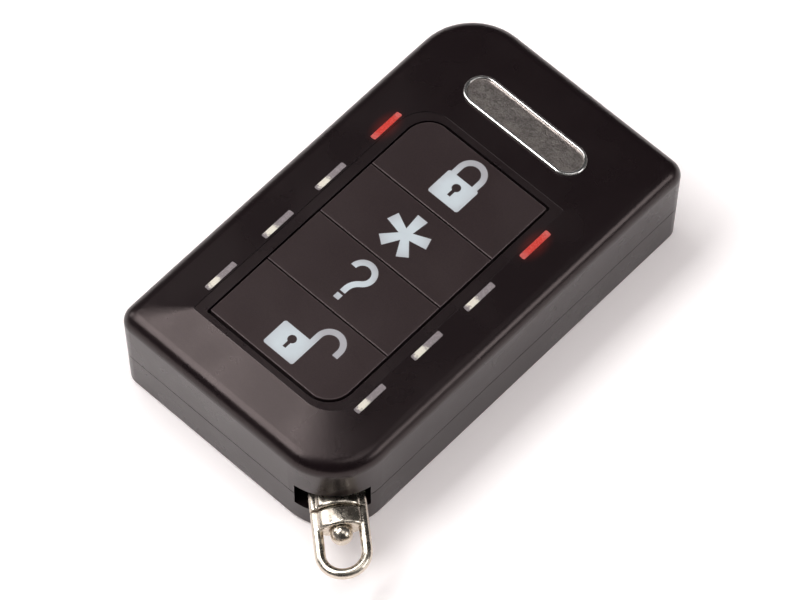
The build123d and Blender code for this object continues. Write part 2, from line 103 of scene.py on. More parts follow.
# Metals
METAL_MARK_SCALE = 900.0
METAL_RIPPLE = 0.002 * MM
METAL_MARK_ROUGHNESS = 0.12
METAL_ROUGHNESS_SPREAD = 0.06
LINK_ROUGHNESS_SPREAD = 0.10
LINK_RIPPLE = 0.008 * MM

# Red halo in the shell round a lit window
HALO_TINT = (1.0, 0.06, 0.03, 1.0)
HALO_STRETCH = (1.0, 0.55, 0.4)
HALO_START = 0.4 * MM
HALO_END = 2.2 * MM

# Windows: uneven reach of the light, where a lit one fades, and the lamp in an unlit one
WINDOW_HAZE_SCALE = 2600.0
WINDOW_DRIFT = 1.6 * MM
LIT_FADE_START = 1.1 * MM
LIT_FADE_END = 2.4 * MM
LAMP_SPOT_SHIFT = 1.2 * MM
LAMP_SPOT_CORE = 0.5 * MM
LAMP_SPOT_EDGE = 1.1 * MM

# Badge: its rim starts and is full at these depths under its top
RIM_START_DEPTH = 0.24 * MM
RIM_FULL_DEPTH = 0.14 * MM
BADGE_RELIEF = 0.06 * MM
BADGE_ROUNDING = 0.22 * MM
BADGE_DARK_SHARE = 0.55
BADGE_BROAD_SHARE = 0.35
BADGE_FIELD_ROUGHNESS = 0.34
BADGE_RIM_ROUGHNESS = 0.18

# Legends: the brightest point of each in shares of its box, how far that reaches, and its fade
LEGEND_BRIGHT_SHARES = {
    "lock": (0.5, 0.28),
    "star": (0.5, 0.5),
    "query": (0.5, 0.5),
    "unlock": (0.28, 0.30),
}
LEGEND_BRIGHT_REACH = {"lock": 3.4 * MM, "star": 3.4 * MM, "query": 3.0 * MM, "unlock": 3.4 * MM}
LEGEND_FULL_SHARE = 0.3
LEGEND_FADE_SHARE = 1.5
LEGEND_CLOUD = 0.12

# Studio
SENSOR_WIDTH = 36.0
CAMERA_FAR = 20.0
FLOOR_DROP = 0.02 * MM
LIFT_TINT = (1.0, 0.86, 0.86, 1.0)
FILL_PLACE = (0.0, 0.0, 1.6)
FILL_SIDE = 1.8


class Softbox(NamedTuple):
    """A rectangular lamp that faces the part, in metres, degrees and watts."""

    name: str
    place: tuple
    width: float
    height: float
    roll: float
    power: float


SOFTBOXES = (
    Softbox("softbox_front", (-0.36, -0.24, 0.87), width=0.85, height=0.35, roll=-30.0, power=6.8),
    Softbox("softbox_right", (0.81, 0.35, 0.47), width=0.45, height=0.35, roll=0.0, power=2.2),
    Softbox("softbox_high", (0.33, 0.08, 0.94), width=0.45, height=0.45, roll=0.0, power=1.0),
    Softbox("softbox_left", (-0.82, -0.28, 0.50), width=0.36, height=0.50, roll=0.0, power=2.1),
)


class Inside(NamedTuple):
    """Finish of the screws and of nodes inside the shells: roughness, and grains or marks in a metre."""

    nodes: tuple
    material: str
    colour: tuple
    roughness: float
    scale: float


INSIDE_METALS = (
    Inside(("case_screws",), "Screw zinc", (0.42, 0.43, 0.45, 1.0), 0.24, 1400.0),
    Inside(("coin_cell",), "Cell steel", (0.60, 0.60, 0.61, 1.0), 0.18, 700.0),
    Inside(("negative_contact", "battery_clip"), "Contact steel", (0.55, 0.52, 0.47, 1.0), 0.20,
           METAL_MARK_SCALE),
    Inside(("crystal",), "Crystal can", (0.62, 0.62, 0.63, 1.0), 0.22, 1600.0),
)
INSIDE_PLASTICS = (
    Inside(("key_guide",), "Guide plastic", (0.09, 0.09, 0.095, 1.0), 0.50, PLASTIC_GRAIN_SCALE),
    Inside(("controller_chip", "radio_chip"), "Chip resin", (0.012, 0.012, 0.013, 1.0), 0.55,
           PLASTIC_GRAIN_SCALE),
    Inside(("chip_antenna",), "Antenna ceramic", (0.62, 0.60, 0.55, 1.0), 0.60, 2600.0),
    Inside(("capacitors",), "Capacitor body", (0.23, 0.13, 0.06, 1.0), 0.45, 3000.0),
    Inside(tuple(f"switch_{name}" for name in KEY_NAMES), "Switch base", (0.02, 0.02, 0.021, 1.0), 0.40,
           PLASTIC_GRAIN_SCALE),
    Inside(tuple(f"plunger_{name}" for name in KEY_NAMES), "Plunger plastic", (0.68, 0.66, 0.60, 1.0), 0.38,
           PLASTIC_GRAIN_SCALE),
    Inside(tuple(f"lamp_{name}" for name in WINDOW_NAMES), "Lamp body", (0.74, 0.72, 0.64, 1.0), 0.30,
           2400.0),
)


# Properties

def length(name, description, default):
    """A length property, given in millimetres and kept in metres."""
    return FloatProperty(name=name, description=description, default=default * MM, unit="LENGTH", precision=5)


def number(name, description, default, unit="NONE"):
    """A plain number from 0 upwards, or one with a unit of its own."""
    return FloatProperty(name=name, description=description, default=default, min=0.0, unit=unit)


def colour(name, description, default):
    """A linear colour."""
    return FloatVectorProperty(name=name, description=description, default=default, size=4,
                               subtype="COLOR", min=0.0, max=1.0)


class FobLinkSizes(bpy.types.PropertyGroup):
    """Sizes of the key-ring link, in the part's own measures"""

    wire_radius: length("Wire radius", "Radius of the round wire of both bows", 0.7)
    wire_offset: length("Wire offset", "From the link's axis to the middle of a leg", 2.95)
    saddle_length: length("Saddle length", "Length of each barrel along the link", 2.7)
    saddle_half_width: length("Saddle half width", "From the axis to the groove beside a leg", 3.0)
    saddle_half_height: length("Saddle half height", "Half the thickness of the barrels", 1.8)
    inner_saddle_extra: length("Inner saddle extra", "How much further the inner barrel reaches", 0.65)
    saddle_edge: length("Saddle edge", "Rounding of the barrels' ends", 0.4)
    split_gap: length("Split gap", "Between the two barrels", 0.12)
    split_reach: length("Split reach", "From the post to the split between the bows", 6.25)
    eye_reach: length("Eye reach", "From the split to the middle of the eye's round end", 6.0)
    ball_radius: length("Ball radius", "Radius of the rivet's ball head", 1.45)
    ball_stand: length("Ball stand", "From the outer barrel to the middle of the ball", 0.6)
    ball_clearance: length("Ball clearance", "Room round the ball in the outer barrel", 0.05)
    voxel: length("Voxel", "Grid on which the parts of a bow are merged", 0.075)
    merge_steps: IntProperty(name="Merge steps", description="Smoothing passes over a merged bow",
                             default=7, min=0)


class FobColours(bpy.types.PropertyGroup):
    """Colours of the finishes"""

    housing: colour("Housing", "Satin plastic of the two shells", (0.0062, 0.0034, 0.0042, 1.0))
    key: colour("Keys", "Key plastic", (0.0190, 0.0120, 0.0128, 1.0))
    legend: colour("Legends", "Moulded legends at their brightest", (0.50, 0.545, 0.575, 1.0))
    legend_dim: colour("Dim legends", "Moulded legends at their dimmest", (0.34, 0.33, 0.35, 1.0))
    window: colour("Window", "Unlit window", (0.23, 0.198, 0.205, 1.0))
    lamp_spot: colour("Lamp spot", "Lamp seen through its window", (0.70, 0.65, 0.56, 1.0))
    lit: colour("Lit window", "Middle of a lit window", (0.46, 0.040, 0.030, 1.0))
    lit_end: colour("Lit window ends", "Ends of a lit window", (0.44, 0.085, 0.075, 1.0))
    badge: colour("Badge", "Plated rim", (0.86, 0.84, 0.82, 1.0))
    badge_field: colour("Badge field", "Plated field", (0.46, 0.405, 0.38, 1.0))
    nickel: colour("Nickel", "Plating of the link", (0.66, 0.59, 0.50, 1.0))
    floor: colour("Floor", "Pale floor", (0.93, 0.895, 0.89, 1.0))


class FobFinish(bpy.types.PropertyGroup):
    """Scale and strength of the finishes"""

    housing_roughness: number("Housing roughness", "Roughness of the two shells", 0.29)
    key_roughness: number("Key roughness", "Roughness of the key plastic", 0.33)
    plastic_specular: number("Plastic gloss", "Specular level of shells and keys", PLASTIC_SPECULAR)
    # Edge width also sets how wide the painted highlight on sharp edges is
    edge_width: length("Edge width", "Width over which an edge is polished by use", 0.12)
    halo: number("Halo", "Glow in the plastic beside a lit window", 0.10)
    glow: number("Glow", "Light that comes out of a lit window", 0.22)
    nickel_roughness: number("Nickel roughness", "Roughness of the link's plating", 0.21)


class FobStage(bpy.types.PropertyGroup):
    """Camera, floor and lamps"""

    camera_place: FloatVectorProperty(name="Camera place", description="Where the camera stands",
                                      default=(0.25455, -0.27328, 0.65140), subtype="XYZ", unit="LENGTH")
    camera_turn: FloatVectorProperty(name="Camera turn", description="Which way the camera points",
                                     default=[math.radians(a) for a in (29.8396, -0.0511, 43.1379)],
                                     subtype="EULER", unit="ROTATION")
    camera_lens: number("Camera lens", "Focal length in millimetres", 262.2, unit="CAMERA")
    floor_size: length("Floor size", "Side of the floor", 24000.0)
    backdrop_radius: length("Backdrop radius", "Radius of the round backdrop", 5000.0)
    backdrop_height: length("Backdrop height", "Height of the round backdrop", 300.0)
    floor_lift: number("Floor lift", "Light that the floor adds to look white", 0.19)
    backdrop_lift: number("Backdrop lift", "Light that the far backdrop adds to look pale", 0.50)
    sky_light: number("Sky light", "Even light from all round", 0.06)
    fill_light: number("Fill light", "Power of the wide lamp overhead", 9.5, unit="POWER")


# Selecting and adding

def deselect():
    """Nothing selected and nothing active."""
    bpy.ops.object.select_all(action="DESELECT")
    bpy.context.view_layer.objects.active = None


def choose(piece):
    """Selects one object alone."""
    deselect()
    piece.select_set(True)
    bpy.context.view_layer.objects.active = piece


def take_primitive(name):
    """The primitive that was just added, named."""
    piece = bpy.context.active_object
    piece.name = name
    piece.data.name = name
    return piece


def select_part(piece, kind, wanted):
    """In edit mode, selects the edges or vertices that a test accepts."""
    bpy.ops.mesh.select_mode(type=kind)
    bpy.ops.mesh.select_all(action="DESELECT")
    mesh = bmesh.from_edit_mesh(piece.data)
    for part in mesh.edges if kind == "EDGE" else mesh.verts:
        part.select_set(wanted(part))
    mesh.select_flush_mode()
    bmesh.update_edit_mesh(piece.data)


def apply_modifier(piece, kind, **settings):
    """Adds a modifier, sets it and applies it."""
    choose(piece)
    modifier = piece.modifiers.new(kind.title(), kind)
    for key, value in settings.items():
        setattr(modifier, key, value)
    bpy.ops.object.modifier_apply(modifier=modifier.name)


def place_mesh(piece, matrix):
    """Moves the mesh to its place and leaves its object at the origin."""
    choose(piece)
    bpy.ops.object.transform_apply(location=True, rotation=True, scale=True)
    piece.data.transform(matrix)
    piece.data.update()


def face_outwards(piece):
    """Merges doubles and turns the faces outwards."""
    choose(piece)
    bpy.ops.object.mode_set(mode="EDIT")
    bpy.ops.mesh.select_all(action="SELECT")
    bpy.ops.mesh.remove_doubles(threshold=MERGE_DISTANCE)
    bpy.ops.mesh.normals_make_consistent(inside=False)
    bpy.ops.object.mode_set(mode="OBJECT")


# Shader nodes

def new_group(name, inputs, outputs):
    """An empty shader node group with named sockets, and its input and output nodes."""
    tree = bpy.data.node_groups.new(name, "ShaderNodeTree")
    for label, kind, default in inputs:
        socket = tree.interface.new_socket(name=label, in_out="INPUT", socket_type=kind)
        if default is not None:
            socket.default_value = default
    for label, kind in outputs:
        tree.interface.new_socket(name=label, in_out="OUTPUT", socket_type=kind)
    return tree, tree.nodes.new("NodeGroupInput"), tree.nodes.new("NodeGroupOutput")


def find_input(made, label):
    """A node's input, by its name with underscores for blanks, or by its place as n0, n1 and so on."""
    if label[0] == "n" and label[1:].isdigit():
        return made.inputs[int(label[1:])]
    return made.inputs[label.replace("_", " ")]


def feed(tree, socket, value):
    """Links another socket to this one, or sets its value."""
    if isinstance(value, bpy.types.NodeSocket):
        tree.links.new(value, socket)
    else:
        socket.default_value = value


def add(tree, kind, settings=None, **inputs):
    """A node with its settings and its inputs, which are values or sockets to link from."""
    made = tree.nodes.new(kind)
    for key, value in (settings or {}).items():
        setattr(made, key, value)
    for label, value in inputs.items():
        feed(tree, find_input(made, label), value)
    return made


def maths(tree, operation, first, second=0.0, clamp=False):
    """The output of a Math node."""
    made = add(tree, "ShaderNodeMath", {"operation": operation, "use_clamp": clamp}, n0=first, n1=second)
    return made.outputs[0]


def ramp(tree, value, low, high, to_low=0.0, to_high=1.0):
    """The output of a smooth Map Range node."""
    made = add(tree, "ShaderNodeMapRange", {"interpolation_type": "SMOOTHSTEP"}, Value=value,
               From_Min=low, From_Max=high, To_Min=to_low, To_Max=to_high)
    return made.outputs[0]


def spread_noise(tree, noise, to_low=0.0, to_high=1.0):
    """A noise texture's value, spread smoothly from one number to another."""
    return ramp(tree, noise.outputs["Fac"], NOISE_LOW, NOISE_HIGH, to_low, to_high)


def blend_colour(tree, factor, first, second):
    """The output of a colour mix."""
    made = add(tree, "ShaderNodeMix", {"data_type": "RGBA"}, n0=factor, n6=first, n7=second)
    return made.outputs[2]


def centred(tree, place, centre, stretch=(1.0, 1.0, 1.0)):
    """Object coordinates moved to a centre, then stretched."""
    moved = tuple(-c * s for c, s in zip(centre, stretch))
    return add(tree, "ShaderNodeMapping", Vector=place, Location=moved, Scale=stretch).outputs[0]


def distance_from(tree, place, centre, stretch=(1.0, 1.0, 1.0)):
    """How far a point lies from a centre, in a space that is stretched along its axes."""
    near = centred(tree, place, centre, stretch)
    return add(tree, "ShaderNodeVectorMath", {"operation": "LENGTH"}, n0=near).outputs["Value"]


def tone_of(base, gain, lift=0.0):
    """A colour made darker or lighter."""
    return tuple(min(c * gain + lift, 1.0) for c in base[:3]) + (1.0,)


def make_grain_group():
    """Fine moulded grain: a height, and masks for tone and roughness that vary over the surface."""
    tree, given, out = new_group(
        "Moulded grain",
        [("Vector", "NodeSocketVector", None), ("Scale", "NodeSocketFloat", PLASTIC_GRAIN_SCALE),
         ("Patch Scale", "NodeSocketFloat", GLOSS_PATCH_SCALE)],
        [("Height", "NodeSocketFloat"), ("Tone", "NodeSocketFloat"), ("Patches", "NodeSocketFloat")])
    vector, scale = given.outputs["Vector"], given.outputs["Scale"]
    fine = add(tree, "ShaderNodeTexNoise", Vector=vector, Scale=scale, Detail=3.0, Roughness=0.62)
    pit_scale = maths(tree, "MULTIPLY", scale, GRAIN_PIT_SCALE_SHARE)
    pits = add(tree, "ShaderNodeTexVoronoi", Vector=vector, Scale=pit_scale)
    broad = add(tree, "ShaderNodeTexNoise", Vector=vector, Scale=given.outputs["Patch Scale"], Detail=4.0,
                Roughness=0.55)
    depth = maths(tree, "MULTIPLY", pits.outputs["Distance"], GRAIN_PIT_DEPTH_SHARE)
    tree.links.new(maths(tree, "ADD", fine.outputs["Fac"], depth), out.inputs["Height"])
    tree.links.new(spread_noise(tree, fine), out.inputs["Tone"])
    tree.links.new(spread_noise(tree, broad), out.inputs["Patches"])
    return tree


def make_edge_group():
    """Mask of the sharp edges, from how far a rounded normal turns from the face's own. It places their extra
    gloss and their painted highlight.
    """
    tree, given, out = new_group("Edge polish and highlight", [("Radius", "NodeSocketFloat", 0.1 * MM)],
                                 [("Edge", "NodeSocketFloat")])
    rounded = add(tree, "ShaderNodeBevel", {"samples": 4}, Radius=given.outputs["Radius"])
    own = add(tree, "ShaderNodeNewGeometry")
    alike = add(tree, "ShaderNodeVectorMath", {"operation": "DOT_PRODUCT"}, n0=rounded.outputs[0],
                n1=own.outputs["Normal"])
    turned = maths(tree, "SUBTRACT", 1.0, alike.outputs["Value"])
    tree.links.new(ramp(tree, turned, low=0.004, high=0.08), out.inputs["Edge"])
    return tree


def make_scratch_group():
    """Handling marks on plated metal: fine lines in two directions, and cloudy polish."""
    tree, given, out = new_group("Handling marks", [("Vector", "NodeSocketVector", None),
                                                    ("Scale", "NodeSocketFloat", METAL_MARK_SCALE)],
                                 [("Lines", "NodeSocketFloat"), ("Clouds", "NodeSocketFloat")])
    vector, scale = given.outputs["Vector"], given.outputs["Scale"]
    lines = []
    for turn, stretch in ((0.6, 14.0), (-0.9, 11.0)):
        mapped = add(tree, "ShaderNodeMapping", Vector=vector, Rotation=(0.3, 0.2, turn),
                     Scale=(stretch, 1.0, 3.0))
        noise = add(tree, "ShaderNodeTexNoise", Vector=mapped.outputs[0], Scale=scale, Detail=2.0,
                    Roughness=0.5)
        lines.append(ramp(tree, noise.outputs["Fac"], low=0.66, high=0.74))
    clouds = add(tree, "ShaderNodeTexNoise", Vector=vector, Scale=scale, Detail=3.0, Roughness=0.6)
    tree.links.new(maths(tree, "MAXIMUM", *lines), out.inputs["Lines"])
    tree.links.new(spread_noise(tree, clouds), out.inputs["Clouds"])
    return tree


def use_group(tree, name, maker, **inputs):
    """A node that places a shared group, built once, with its own values."""
    shared = bpy.data.node_groups.get(name) or maker()
    return add(tree, "ShaderNodeGroup", {"node_tree": shared}, **inputs)


# Materials

def object_place(tree):
    """Object coordinates."""
    return add(tree, "ShaderNodeTexCoord").outputs["Object"]


def new_material(name):
    """A material with a bare Principled BSDF: the material, its tree, the shader and Object coordinates."""
    made = bpy.data.materials.new(name)
    made.use_nodes = True
    tree = made.node_tree
    return made, tree, tree.nodes["Principled BSDF"], object_place(tree)


def set_shader(shader, **values):
    """Constant values straight on the shader's sockets."""
    for label, value in values.items():
        find_input(shader, label).default_value = value


def finish_colour(tree, shader, base, tone, dark=0.85, light=1.15):
    """Base colour that varies a little with a tone mask."""
    mixed = blend_colour(tree, tone, tone_of(base, dark), tone_of(base, light))
    tree.links.new(mixed, shader.inputs["Base Color"])
    return mixed


def bump(tree, shader, height, distance, strength=1.0, rounding=0.0):
    """Feeds a height to the shader's normal, over edges that are rounded by a radius."""
    made = add(tree, "ShaderNodeBump", Strength=strength, Distance=distance, Height=height)
    if rounding:
        soft = add(tree, "ShaderNodeBevel", {"samples": 8}, Radius=rounding)
        tree.links.new(soft.outputs[0], made.inputs["Normal"])
    tree.links.new(made.outputs[0], shader.inputs["Normal"])


def moulded(name, base, roughness, specular=PLASTIC_SPECULAR, scale=PLASTIC_GRAIN_SCALE, edge=0.0, edge_highlight=0.5):
    """Moulded plastic with fine grain, uneven gloss, and sharp edges that are glossier from use and lighter
    in colour as a painted highlight.
    """
    made, tree, shader, place = new_material(name)
    grain = use_group(tree, "Moulded grain", make_grain_group, Vector=place, Scale=scale,
                      Patch_Scale=GLOSS_PATCH_SCALE)
    mixed = finish_colour(tree, shader, base, grain.outputs["Tone"])
    rough = ramp(tree, grain.outputs["Patches"], 0.0, 1.0, roughness - PLASTIC_ROUGHNESS_SPREAD,
                 roughness + PLASTIC_ROUGHNESS_SPREAD)
    if edge:
        edge_polish_and_highlight = use_group(tree, "Edge polish and highlight", make_edge_group, Radius=edge).outputs["Edge"]
        # Painted highlight: the base colour is lightened along sharp edges
        polished_and_highlighted = blend_colour(tree, maths(tree, "MULTIPLY", edge_polish_and_highlight, edge_highlight), mixed,
                                tone_of(base, EDGE_HIGHLIGHT_GAIN, EDGE_HIGHLIGHT_LIFT))
        tree.links.new(polished_and_highlighted, shader.inputs["Base Color"])
        rough = maths(tree, "SUBTRACT", rough, maths(tree, "MULTIPLY", edge_polish_and_highlight, WORN_EDGE_GLOSS), clamp=True)
    tree.links.new(rough, shader.inputs["Roughness"])
    set_shader(shader, Specular_IOR_Level=specular, Specular_Tint=PLASTIC_TINT)
    bump(tree, shader, grain.outputs["Height"], PLASTIC_GRAIN_HEIGHT)
    return made


def plated(name, base, roughness, scale=METAL_MARK_SCALE, spread=METAL_ROUGHNESS_SPREAD,
           ripple=METAL_RIPPLE):
    """Plated metal with cloudy polish and fine handling marks."""
    made, tree, shader, place = new_material(name)
    marks = use_group(tree, "Handling marks", make_scratch_group, Vector=place, Scale=scale)
    finish_colour(tree, shader, base, marks.outputs["Clouds"], dark=0.9, light=1.06)
    rough = ramp(tree, marks.outputs["Clouds"], 0.0, 1.0, roughness, roughness + spread)
    scratched = maths(tree, "MULTIPLY", marks.outputs["Lines"], METAL_MARK_ROUGHNESS)
    rough = maths(tree, "ADD", rough, scratched, clamp=True)
    tree.links.new(rough, shader.inputs["Roughness"])
    set_shader(shader, Metallic=1.0)
    bump(tree, shader, marks.outputs["Clouds"], ripple)
    return made


def middle_of(name):
    """Middle of a CAD node's box."""
    low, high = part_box(name)
    return (low + high) / 2


def housing_material(colours, finish):
    """Satin plastic, with the red glow that lit windows leave in it."""
    # The shells get a painted highlight on their sharp edges at half strength
    made = moulded("Housing plastic", colours.housing, finish.housing_roughness, finish.plastic_specular,
                   edge=finish.edge_width)
    tree = made.node_tree
    shader = tree.nodes["Principled BSDF"]
    place = object_place(tree)
    glow = 0.0
    for name in LIT_WINDOWS:
        distance = distance_from(tree, place, middle_of(f"window_{name}"), HALO_STRETCH)
        glow = maths(tree, "ADD", glow, ramp(tree, distance, HALO_START, HALO_END, 1.0, 0.0))
    red = blend_colour(tree, maths(tree, "MULTIPLY", glow, finish.halo), BLACK, HALO_TINT)
    tree.links.new(red, shader.inputs["Emission Color"])
    set_shader(shader, Emission_Strength=1.0)
    return made


def window_material(name, colours, finish):
    """Indicator window. Its lamp shows through the near half, or lights it all over."""
    made, tree, shader, place = new_material(f"Window {name}")
    near = centred(tree, place, middle_of(f"window_{name}"))
    along = add(tree, "ShaderNodeSeparateXYZ", Vector=near).outputs["Y"]
    haze = add(tree, "ShaderNodeTexNoise", Vector=place, Scale=WINDOW_HAZE_SCALE, Detail=3.0, Roughness=0.6)
    drift = maths(tree, "MULTIPLY", maths(tree, "SUBTRACT", haze.outputs["Fac"], 0.5), WINDOW_DRIFT)
    reach = maths(tree, "ADD", along, drift)
    if name in LIT_WINDOWS:
        end = ramp(tree, maths(tree, "ABSOLUTE", reach), LIT_FADE_START, LIT_FADE_END)
        shade = blend_colour(tree, end, colours.lit, colours.lit_end)
        tree.links.new(shade, shader.inputs["Emission Color"])
        set_shader(shader, Emission_Strength=finish.glow)
    else:
        off = maths(tree, "ABSOLUTE", maths(tree, "ADD", reach, LAMP_SPOT_SHIFT))
        spot = ramp(tree, off, LAMP_SPOT_CORE, LAMP_SPOT_EDGE, 1.0, 0.0)
        shade = blend_colour(tree, spot, colours.window, colours.lamp_spot)
    tree.links.new(shade, shader.inputs["Base Color"])
    tree.links.new(spread_noise(tree, haze, to_low=0.18, to_high=0.34), shader.inputs["Roughness"])
    bump(tree, shader, haze.outputs["Fac"], 0.004 * MM)
    return made


def badge_rim(tree, place):
    """Mask of the badge's rim, told from its sunken field by height along the badge's own normal."""
    slope = math.atan2(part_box("top_shell")[1].z - BACK_SLOPE_FOOT, BACK_SLOPE_RUN)
    turned = add(tree, "ShaderNodeMapping", Vector=place, Rotation=(slope, 0.0, 0.0)).outputs[0]
    height = add(tree, "ShaderNodeSeparateXYZ", Vector=turned).outputs["Z"]
    top = max(v.co.y * math.sin(slope) + v.co.z * math.cos(slope) for v in nodes["badge"].data.vertices)
    return ramp(tree, height, top - RIM_START_DEPTH, top - RIM_FULL_DEPTH)


def badge_material(colours):
    """Plating with a bright rim and a darker, gently uneven field."""
    made, tree, shader, place = new_material("Badge plating")
    rim = badge_rim(tree, place)
    broad = add(tree, "ShaderNodeTexNoise", Vector=place, Scale=900.0, Detail=2.0, Roughness=0.5)
    fine = add(tree, "ShaderNodeTexNoise", Vector=place, Scale=4200.0, Detail=3.0, Roughness=0.65)
    tone = maths(tree, "ADD", maths(tree, "MULTIPLY", broad.outputs["Fac"], BADGE_BROAD_SHARE),
                 maths(tree, "MULTIPLY", fine.outputs["Fac"], 1.0 - BADGE_BROAD_SHARE))
    field = blend_colour(tree, ramp(tree, tone, low=0.38, high=0.62),
                         tone_of(colours.badge_field, BADGE_DARK_SHARE), colours.badge_field)
    tree.links.new(blend_colour(tree, rim, field, colours.badge), shader.inputs["Base Color"])
    tree.links.new(ramp(tree, rim, 0.0, 1.0, BADGE_FIELD_ROUGHNESS, BADGE_RIM_ROUGHNESS),
                   shader.inputs["Roughness"])
    set_shader(shader, Metallic=1.0)
    sunk = maths(tree, "MULTIPLY", maths(tree, "SUBTRACT", 1.0, rim), tone)
    bump(tree, shader, sunk, BADGE_RELIEF, rounding=BADGE_ROUNDING)
    return made


def legend_material(name, colours):
    """Pale moulded legend, brightest round one point and greyer away from it, as if lit from behind."""
    made, tree, shader, place = new_material(f"Legend {name}")
    low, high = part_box(f"legend_{name}")
    share_x, share_y = LEGEND_BRIGHT_SHARES[name]
    brightest = Vector((low.x + share_x * (high.x - low.x), low.y + share_y * (high.y - low.y), high.z))
    reach = LEGEND_BRIGHT_REACH[name]
    bright = ramp(tree, distance_from(tree, place, brightest), reach * LEGEND_FULL_SHARE,
                  reach * LEGEND_FADE_SHARE, 1.0, 0.0)
    grain = use_group(tree, "Moulded grain", make_grain_group, Vector=place, Scale=6000.0, Patch_Scale=700.0)
    cloud = maths(tree, "MULTIPLY", maths(tree, "SUBTRACT", grain.outputs["Patches"], 0.5), LEGEND_CLOUD)
    lit = maths(tree, "ADD", bright, cloud, clamp=True)
    tree.links.new(blend_colour(tree, lit, colours.legend_dim, colours.legend), shader.inputs["Base Color"])
    tree.links.new(ramp(tree, grain.outputs["Tone"], 0.0, 1.0, to_low=0.36, to_high=0.48),
                   shader.inputs["Roughness"])
    set_shader(shader, Specular_IOR_Level=0.35)
    bump(tree, shader, grain.outputs["Height"], 0.003 * MM)
    return made


def board_material():
    """Green solder mask over copper tracks."""
    made, tree, shader, place = new_material("Board laminate")
    tracks = add(tree, "ShaderNodeTexBrick", Vector=place, Scale=260.0, Mortar_Size=0.045,
                 Color1=(0.010, 0.055, 0.026, 1.0), Color2=(0.008, 0.043, 0.021, 1.0),
                 Mortar=(0.025, 0.115, 0.052, 1.0))
    tree.links.new(tracks.outputs["Color"], shader.inputs["Base Color"])
    fine = add(tree, "ShaderNodeTexNoise", Vector=place, Scale=1800.0, Detail=2.0)
    tree.links.new(spread_noise(tree, fine, to_low=0.25, to_high=0.38), shader.inputs["Roughness"])
    bump(tree, shader, tracks.outputs["Fac"], 0.01 * MM, strength=0.6)
    return made


def paper_material(name, colours, lift):
    """Pale paper. It adds a little light of its own where the camera, metal or glass looks at it."""
    made, tree, shader, place = new_material(name)
    fibres = add(tree, "ShaderNodeTexNoise", Vector=place, Scale=300.0, Detail=2.0)
    finish_colour(tree, shader, colours.floor, fibres.outputs["Fac"], dark=0.995, light=1.005)
    light = add(tree, "ShaderNodeLightPath")
    mirrored = maths(tree, "MAXIMUM", light.outputs["Is Glossy Ray"], light.outputs["Is Transmission Ray"])
    seen = maths(tree, "MAXIMUM", light.outputs["Is Camera Ray"], mirrored)
    added = blend_colour(tree, maths(tree, "MULTIPLY", seen, lift), BLACK, LIFT_TINT)
    tree.links.new(added, shader.inputs["Emission Color"])
    set_shader(shader, Roughness=0.95, Specular_IOR_Level=0.0, Emission_Strength=1.0)
    return made


def dress(names, made):
    """Gives CAD nodes a material."""
    for name in names:
        piece = nodes[name]
        piece.data.materials.clear()
        piece.data.materials.append(made)


# The link

def round_wire(name, sizes, start, end_centre):
    """Two legs and a half circle of round wire, from the split to the bow's end, along X."""
    deselect()
    bpy.ops.mesh.primitive_circle_add(vertices=WIRE_FACETS, radius=sizes.wire_radius, fill_type="NOTHING",
                                      location=(start, -sizes.wire_offset, 0.0),
                                      rotation=(0.0, math.pi / 2, 0.0))
    piece = take_primitive(name)
    bpy.ops.object.transform_apply(location=True, rotation=True, scale=True)
    bpy.ops.object.mode_set(mode="EDIT")
    bpy.ops.mesh.select_all(action="SELECT")
    run = end_centre - start
    bpy.ops.mesh.extrude_region_move(TRANSFORM_OT_translate={"value": (run, 0.0, 0.0)})
    turn = -math.pi if run > 0 else math.pi
    bpy.ops.mesh.spin(steps=BEND_STEPS, angle=turn, center=(end_centre, 0.0, 0.0), axis=(0.0, 0.0, 1.0))
    bpy.ops.mesh.extrude_region_move(TRANSFORM_OT_translate={"value": (-run, 0.0, 0.0)})
    bpy.ops.mesh.select_all(action="SELECT")
    bpy.ops.mesh.remove_doubles(threshold=MERGE_DISTANCE)
    tolerance = sizes.voxel / 10
    for side in (-1, 1):
        def at_leg_end(vertex, side=side):
            return abs(vertex.co.x - start) < tolerance and vertex.co.y * side > 0

        select_part(piece, "VERT", at_leg_end)
        bpy.ops.mesh.edge_face_add()
    bpy.ops.object.mode_set(mode="OBJECT")
    face_outwards(piece)
    return piece


def barrel(name, sizes, start, end):
    """Oval barrel along X with rounded ends."""
    deselect()
    bpy.ops.mesh.primitive_cylinder_add(vertices=BARREL_FACETS, radius=1.0, depth=1.0, end_fill_type="NGON",
                                        location=((start + end) / 2, 0.0, 0.0),
                                        rotation=(0.0, math.pi / 2, 0.0))
    piece = take_primitive(name)
    bpy.ops.object.transform_apply(location=False, rotation=True, scale=False)
    piece.scale = (end - start, sizes.saddle_half_width, sizes.saddle_half_height)
    bpy.ops.object.transform_apply(location=True, rotation=False, scale=True)
    bpy.ops.object.mode_set(mode="EDIT")
    tolerance = sizes.voxel / 10

    def at_end(edge):
        first, second = (vertex.co.x for vertex in edge.verts)
        return abs(first - second) < tolerance and min(abs(first - start), abs(first - end)) < tolerance

    select_part(piece, "EDGE", at_end)
    bpy.ops.mesh.bevel(offset=sizes.saddle_edge, segments=BARREL_EDGE_STEPS, profile=0.5, affect="EDGES",
                       clamp_overlap=True)
    bpy.ops.object.mode_set(mode="OBJECT")
    face_outwards(piece)
    return piece


def ball(name, centre_x, radius):
    """Ball on the link's axis, to hollow a barrel for the rivet's head."""
    deselect()
    bpy.ops.mesh.primitive_uv_sphere_add(segments=BALL_SEGMENTS, ring_count=BALL_RINGS, radius=radius,
                                         location=(centre_x, 0.0, 0.0), rotation=(0.0, math.pi / 2, 0.0))
    piece = take_primitive(name)
    bpy.ops.object.transform_apply(location=True, rotation=True, scale=True)
    return piece


def combine(piece, other, operation):
    """Joins another solid to a piece, or cuts it away, and removes it."""
    apply_modifier(piece, "BOOLEAN", operation=operation, object=other, solver="EXACT")
    bpy.data.objects.remove(other)


